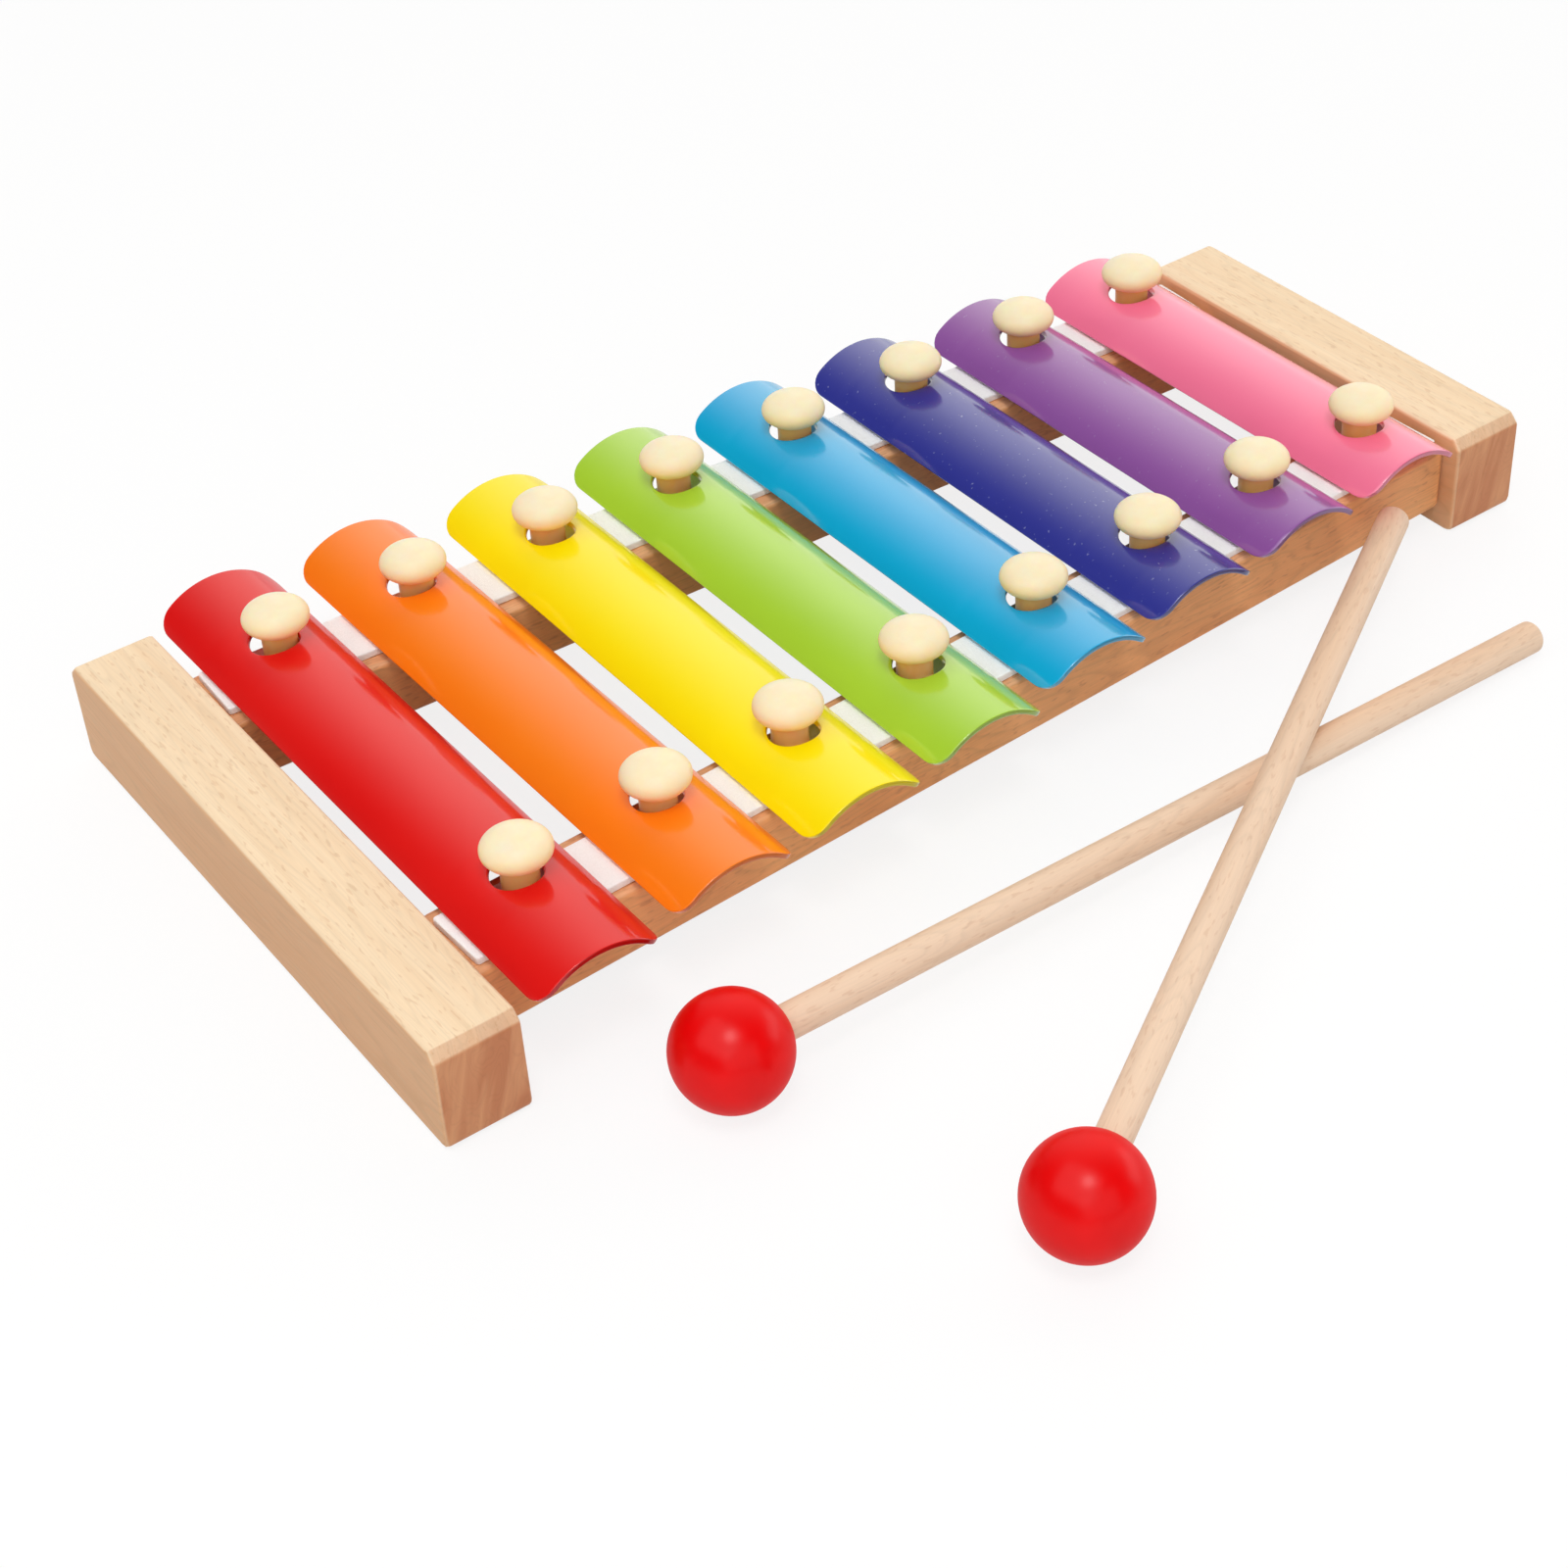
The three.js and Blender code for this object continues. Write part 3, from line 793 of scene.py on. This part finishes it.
def felt_strip(side, sign, material):
    """The strip along a rail's top, pierced by that side's pins."""
    node = f"{side}_pad_strip"
    low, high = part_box(node)
    first = centre_of(f"{side}_pin_1")
    last = centre_of(f"{side}_pin_{len(BARS)}")
    way = Vector((last.x - first.x, last.y - first.y)).normalized()
    spacing = (last - first).xy.length / (len(BARS) - 1)
    # Across the strip, outwards is towards this side of the instrument
    middle = (STRIP_INNER + STRIP_OUTER) / 2
    half_width = (STRIP_OUTER - STRIP_INNER) / 2
    thickness = high.z - low.z
    start = (low.x - first.x) / way.x + STRIP_SHORTER
    end = (high.x - first.x) / way.x - STRIP_SHORTER

    sheet = PiercedSheet(
        half_width, start, end, STRIP_CORNER, STRIP_EASE,
        corner_steps=3, middle_steps=16,
    )
    sheet.begin(-STRIP_CELL, STRIP_END_SHARES)
    for number in range(len(BARS)):
        here = spacing * number
        sheet.hole(
            here - STRIP_CELL, here + STRIP_CELL, STRIP_HOLE,
            steps=14, rings=3, middle_x=-sign * middle,
        )
        if number < len(BARS) - 1:
            sheet.stretch(here + STRIP_CELL, here + spacing - STRIP_CELL, steps=10)
    sheet.finish(here + STRIP_CELL, STRIP_END_SHARES)

    def laid(across, along, depth):
        rough = noise.noise(Vector((across * FELT_WAVES, along * FELT_WAVES, sign))) * FELT_ROUGHNESS
        top = high.z - FELT_ROUGHNESS + rough * (1 - depth / thickness)
        offset = across + sign * middle
        return (
            first.x + way.x * along - way.y * offset,
            first.y + way.y * along + way.x * offset,
            top - depth * (1 - FELT_ROUGHNESS / thickness),
        )

    thing = sheet.thick(f"{side}_felt_strip", thickness, laid)
    dress(thing, material, "felt", "frame", node)


# Mallets

def stick_end(stick, centre):
    """The middle of the end of a CAD stick that is farthest from its ball's centre."""
    vertices = frame["nodes"][stick].data.vertices
    # Points that several faces share count once
    places = {tuple(round(value, 7) for value in vertex.co) for vertex in vertices}
    points = [Vector(place) for place in places]
    reach = max((point - centre).length for point in points)
    end = [point for point in points if (point - centre).length > reach - STICK_END_REACH]
    return sum(end, Vector()) / len(end)


def mallet_ball(name, centre, turn, material):
    """A ball with a socket for its stick, whose mouth is eased."""
    ball = f"{name}_mallet_ball"
    bottom = BALL_RADIUS - SOCKET_DEPTH
    ease = SOCKET_MOUTH
    mouth_radius = SOCKET_RADIUS + ease
    mouth = math.sqrt(BALL_RADIUS ** 2 - mouth_radius ** 2)
    mouth_angle = math.degrees(math.asin(mouth / BALL_RADIUS))
    profile = [(0, -BALL_RADIUS)]
    profile += arc((0, 0), (BALL_RADIUS, BALL_RADIUS), -90, mouth_angle, steps=44)
    profile += arc((mouth_radius, mouth - ease), (ease, ease), 90, 180, steps=5)
    profile += [(SOCKET_RADIUS, bottom), (0, bottom)]
    thing = turned(f"lacquered_{ball}", profile, segments=72)
    thing.data.transform(turn)
    thing.matrix_world = Matrix.Translation(centre)
    dress(thing, material, "red_lacquer", f"{name}_mallet", ball)


def mallet_stick(name, centre, turn, length, material):
    """A stick with eased ends, from its ball's socket to its free end, length off the centre."""
    stick = f"{name}_mallet_stick"
    start = BALL_RADIUS - SOCKET_DEPTH + STICK_GAP
    ease = STICK_END_EASE
    shoulder = STICK_RADIUS - ease
    profile = [(0, start), (shoulder, start)]
    profile += arc((shoulder, start + ease), (ease, ease), -90, 0, steps=4)
    profile += [(STICK_RADIUS, z) for z in spread(start + ease, length - ease, steps=40)]
    profile += arc((shoulder, length - ease), (ease, ease), 0, 90, steps=4)
    profile += [(0, length)]
    thing = turned(f"turned_{stick}", profile, segments=48)
    thing.matrix_world = Matrix.Translation(centre) @ turn
    dress(thing, material, "stick_beech", f"{name}_mallet", stick)


def mallet(name, ball_look, stick_look):
    """A ball and its stick, which lie as the CAD mallet does."""
    centre = centre_of(f"{name}_mallet_ball")
    way = stick_end(f"{name}_mallet_stick", centre) - centre
    turn = way.normalized().to_track_quat("Z", "Y").to_matrix().to_4x4()
    mallet_ball(name, centre, turn, ball_look)
    mallet_stick(name, centre, turn, way.length, stick_look)


# Wood that stays as the CAD made it, with its eased edges shaded round

def smooth_by_angle():
    """A geometry-nodes group that welds a mesh's doubled points and shades its soft edges round."""
    group = bpy.data.node_groups.new("Smooth shading", "GeometryNodeTree")
    for direction in ("INPUT", "OUTPUT"):
        group.interface.new_socket("Geometry", in_out=direction, socket_type="NodeSocketGeometry")
    start = group.nodes.new("NodeGroupInput")
    end = group.nodes.new("NodeGroupOutput")
    weld = group.nodes.new("GeometryNodeMergeByDistance")
    feed(group, weld, "Distance", WELD_DISTANCE)
    feed(group, weld, "Geometry", start.outputs[0])
    faces = group.nodes.new("GeometryNodeSetShadeSmooth")
    faces.domain = "FACE"
    feed(group, faces, "Geometry", weld.outputs[0])
    angle = group.nodes.new("GeometryNodeInputMeshEdgeAngle")
    sharp = group.nodes.new("FunctionNodeCompare")
    sharp.operation = "GREATER_THAN"
    feed(group, sharp, 0, angle.outputs["Unsigned Angle"])
    feed(group, sharp, 1, SOFT_EDGE_ANGLE)
    edges = group.nodes.new("GeometryNodeSetShadeSmooth")
    edges.domain = "EDGE"
    feed(group, edges, "Geometry", faces.outputs[0])
    feed(group, edges, "Selection", sharp.outputs[0])
    feed(group, edges, "Shade Smooth", False)
    feed(group, end, 0, edges.outputs[0])
    return group


def finish_wood(node, material, group):
    """Gives a CAD node its wood and its shading. Its shape stays as it is."""
    thing = frame["nodes"][node]
    for slot in thing.material_slots:
        slot.material = material
    smooth = thing.modifiers.new("Smooth shading", "NODES")
    smooth.node_group = group
    weighted = thing.modifiers.new("Even shading", "WEIGHTED_NORMAL")
    weighted.keep_sharp = True


# Studio

def way_to(azimuth, elevation):
    """The direction at an azimuth, from +Y, the back, towards +X, and an elevation, in degrees."""
    turn = math.radians(azimuth)
    lift = math.radians(elevation)
    return Vector((
        math.sin(turn) * math.cos(lift),
        math.cos(turn) * math.cos(lift),
        math.sin(lift),
    ))


def floor_look():
    """A white floor. It reaches the eye and mirrors paler than it lights the object."""
    material, tree, shader = new_material("studio_floor_look")
    tree.nodes.remove(shader)
    output = tree.nodes["Material Output"]
    plain = tree.nodes.new("ShaderNodeBsdfDiffuse")
    feed(tree, plain, "Color", grey(FLOOR_GREY))
    shaded = tree.nodes.new("ShaderNodeBsdfDiffuse")
    feed(tree, shaded, "Color", grey(FLOOR_SHADED_GREY))
    glow = tree.nodes.new("ShaderNodeEmission")
    feed(tree, glow, "Color", grey(1.0))
    feed(tree, glow, "Strength", FLOOR_GLOW)
    seen = tree.nodes.new("ShaderNodeAddShader")
    feed(tree, seen, 0, shaded.outputs[0])
    feed(tree, seen, 1, glow.outputs[0])
    path = tree.nodes.new("ShaderNodeLightPath")
    direct = calculated(tree, "MAXIMUM", path.outputs["Is Camera Ray"], path.outputs["Is Glossy Ray"])
    direct = calculated(tree, "MAXIMUM", direct, path.outputs["Is Transmission Ray"])
    choice = tree.nodes.new("ShaderNodeMixShader")
    feed(tree, choice, 0, direct)
    feed(tree, choice, 1, plain.outputs[0])
    feed(tree, choice, 2, seen.outputs[0])
    feed(tree, output, "Surface", choice.outputs[0])
    return material


def floor():
    """A plain square that isn't part of the object."""
    half = FLOOR_HALF
    corners = [(-half, -half, 0), (half, -half, 0), (half, half, 0), (-half, half, 0)]
    mesh = bpy.data.meshes.new("studio_floor")
    mesh.from_pydata(corners, [], [(0, 1, 2, 3)])
    thing = bpy.data.objects.new("studio_floor", mesh)
    thing.location = FLOOR_PLACE
    mesh.materials.append(floor_look())
    scene.collection.objects.link(thing)


def world():
    """A dim room with a pale sweep at the height of the floor, and one very large soft light
    at the back right, which fades evenly to its edge."""
    scene.world = bpy.data.worlds.new("studio")
    scene.world.use_nodes = True
    tree = scene.world.node_tree
    place = tree.nodes.new("ShaderNodeTexCoord").outputs["Generated"]
    parts = tree.nodes.new("ShaderNodeSeparateXYZ")
    feed(tree, parts, 0, place)
    room = ramp(tree, parts.outputs["Z"], [(height, grey(value)) for height, value in ROOM_GREYS])
    away = calculated(tree, "ARCCOSINE", along_axis(tree, place, way_to(*SOFT_LIGHT_PLACE)))
    share = calculated(tree, "MINIMUM", calculated(tree, "DIVIDE", away, SOFT_LIGHT_RADIUS), 1.0)
    fade = calculated(tree, "COSINE", calculated(tree, "MULTIPLY", share, QUARTER))
    glow = calculated(tree, "MULTIPLY", calculated(tree, "POWER", fade, 2.0), SOFT_LIGHT)
    glow = mixed(tree, 1.0, glow, SOFT_LIGHT_COLOUR, "MULTIPLY")
    feed(tree, tree.nodes["Background"], "Color", mixed(tree, 1.0, room, glow, "ADD"))


def lamp(name, azimuth, elevation, size, power):
    """A soft box, aimed at the instrument."""
    light = bpy.data.lights.new(name, "AREA")
    light.shape = "RECTANGLE"
    light.size, light.size_y = size
    light.energy = power
    way = way_to(azimuth, elevation)
    thing = bpy.data.objects.new(name, light)
    thing.location = Vector(LAMP_TARGET) + way * LAMP_DISTANCE
    thing.rotation_euler = way.to_track_quat("Z", "Y").to_euler()
    thing.visible_camera = False
    scene.collection.objects.link(thing)


def camera():
    """The photograph's view: from the front left and above, with a slight roll."""
    data = bpy.data.cameras.new("camera")
    data.sensor_width = CAMERA_SENSOR
    data.lens = CAMERA_LENS
    data.clip_start, data.clip_end = CAMERA_CLIP
    azimuth = math.radians(CAMERA_AZIMUTH)
    roll = math.radians(CAMERA_ROLL)
    forward = way_to(CAMERA_AZIMUTH, -CAMERA_ELEVATION)
    level = Vector((math.cos(azimuth), -math.sin(azimuth), 0))
    upward = level.cross(forward)
    right = level * math.cos(roll) + upward * math.sin(roll)
    up = right.cross(forward)
    turn = Matrix((right, up, -forward)).transposed().to_4x4()
    thing = bpy.data.objects.new("camera", data)
    thing.matrix_world = Matrix.Translation(CAMERA_PLACE) @ turn
    scene.collection.objects.link(thing)
    scene.camera = thing


# The scene

scene.view_settings.view_transform = "Standard"
camera()
world()
floor()
for name, placing in LAMPS.items():
    lamp(name, *placing)

smooth = smooth_by_angle()
block_look = beech(
    "beech_look", BEECH_TONES, (RING_SLANT, 0, QUARTER), ALONG_Y, ALONG_X,
    shift=(0.7, 3.1, 1.9),
)
rail_look = beech(
    "rail_beech_look", RAIL_TONES, NOWHERE, ALONG_X, ALONG_Y,
    shift=(2.3, 0.4, 5.5), fibre=0.87, flecked=0.4,
)
dowel_look = beech(
    "dowel_beech_look", STICK_TONES, NOWHERE, ALONG_X, ALONG_Y,
    shift=(4.1, 2.2, 0.3),
)
stick_look = beech(
    "stick_beech_look", STICK_TONES, (0, -QUARTER, 0), ALONG_Z, ALONG_Y,
    shift=(1.3, 6.2, 2.8), flecked=0.28,
)
for node in ("wide_end_block", "narrow_end_block"):
    finish_wood(node, block_look, smooth)
for side in SIDES:
    finish_wood(f"{side}_rail", rail_look, smooth)
    for end in ("wide", "narrow"):
        finish_wood(f"{side}_{end}_dowel", dowel_look, smooth)

felt_look = felt()
for side, sign in SIDES.items():
    felt_strip(side, sign, felt_look)

pin_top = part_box("front_pin_1")[1].z
ivory_look = ivory(
    pin_top - PIN_HEAD_HEIGHT - SHADE_BELOW_HEAD,
    pin_top - PIN_HEAD_HEIGHT * PLAIN_HEAD_SHARE,
)
for index, name in enumerate(BARS):
    colour_name = name[2:]
    look = enamel(f"enamel_{colour_name}_look", *ENAMELS[colour_name])
    sound_bar(name, look, index)
    for side in SIDES:
        mushroom_pin(f"{side}_pin_{name[0]}", ivory_look)

lacquer_look = lacquer()
for name in ("lower", "upper"):
    mallet(name, lacquer_look, stick_look)
